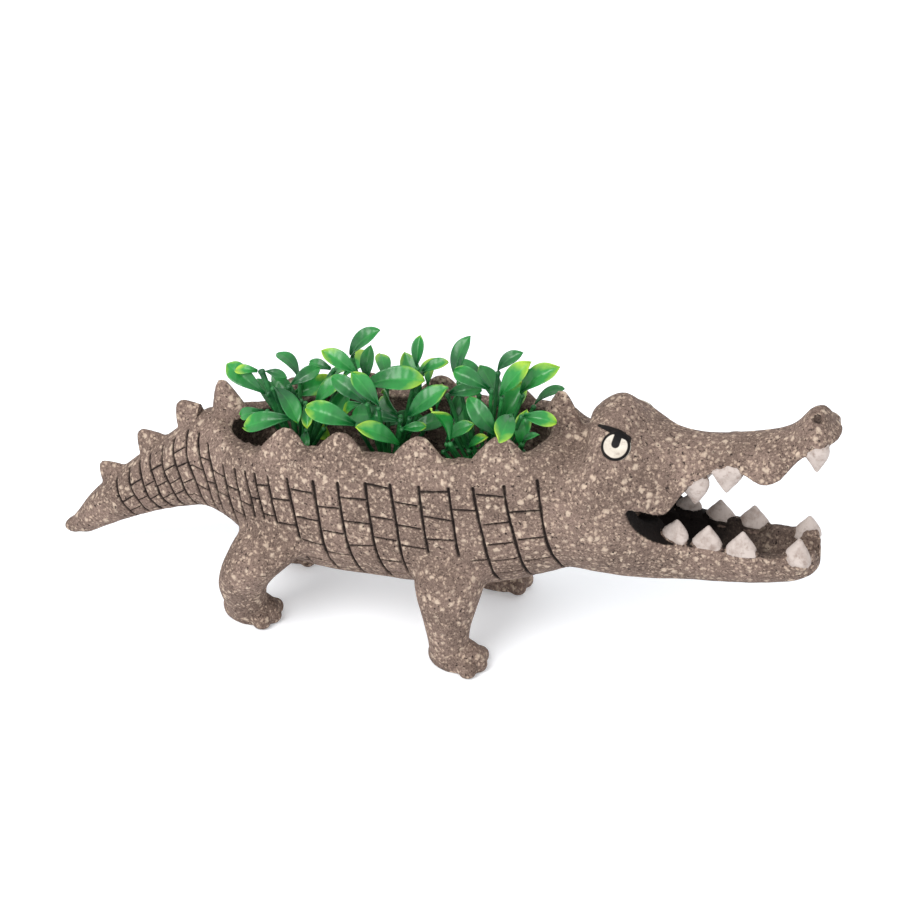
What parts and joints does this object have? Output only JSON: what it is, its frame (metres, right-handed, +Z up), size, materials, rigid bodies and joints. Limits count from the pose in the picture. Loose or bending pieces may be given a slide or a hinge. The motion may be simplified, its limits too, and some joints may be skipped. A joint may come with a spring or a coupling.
{
  "type": "animal shaped planter",
  "caption": "Hand-built stoneware crocodile planter with open jaws and scutes; the trough in its back holds bunches of plastic foliage that lift out.",
  "frame": {"origin": "on the ground, under the middle of the animal's length and width", "axes": "+X towards the snout, +Y towards the animal's left, +Z up"},
  "size_m": [0.3, 0.0804, 0.1203],
  "materials": {
    "clay": "coarse matte",
    "tooth_slip": "matte",
    "eye_slip": "matte",
    "leaf": "satin",
    "stem": "satin",
    "foam": "matte"
  },
  "bodies": {
    "planter": {"body_trough": "clay", "foam_block": "foam", "front_left_leg": "clay", "front_right_leg": "clay", "left_eye": "eye_slip", "left_scute_1": "clay", "left_scute_2": "clay", "left_scute_3": "clay", "left_scute_4": "clay", "lower_jaw": "clay", "lower_left_tooth_1": "tooth_slip", "lower_left_tooth_2": "tooth_slip", "lower_left_tooth_3": "tooth_slip", "lower_left_tooth_4": "tooth_slip", "lower_right_tooth_1": "tooth_slip", "lower_right_tooth_2": "tooth_slip", "lower_right_tooth_3": "tooth_slip", "lower_right_tooth_4": "tooth_slip", "nape_scute": "clay", "rear_left_leg": "clay", "rear_right_leg": "clay", "right_eye": "eye_slip", "right_scute_1": "clay", "right_scute_2": "clay", "right_scute_3": "clay", "right_scute_4": "clay", "rump_scute": "clay", "tail": "clay", "tail_scute_1": "clay", "tail_scute_2": "clay", "tail_scute_3": "clay", "upper_head": "clay", "upper_left_tooth_1": "tooth_slip", "upper_left_tooth_2": "tooth_slip", "upper_left_tooth_3": "tooth_slip", "upper_right_tooth_1": "tooth_slip", "upper_right_tooth_2": "tooth_slip", "upper_right_tooth_3": "tooth_slip"},
    "rear_bunch": {"rear_stems": "stem", "rear_leaves": "leaf"},
    "middle_bunch": {"middle_stems": "stem", "middle_leaves": "leaf"},
    "front_bunch": {"front_stems": "stem", "front_leaves": "leaf"}
  },
  "joints": [
    {"name": "rear_bunch_lift", "type": "slide", "parent": "planter", "child": "rear_bunch", "axis": [0, 0, 1], "range_m": [0, 0.075]},
    {"name": "middle_bunch_lift", "type": "slide", "parent": "planter", "child": "middle_bunch", "axis": [0, 0, 1], "range_m": [0, 0.075]},
    {"name": "front_bunch_lift", "type": "slide", "parent": "planter", "child": "front_bunch", "axis": [0, 0, 1], "range_m": [0, 0.075]}
  ]
}
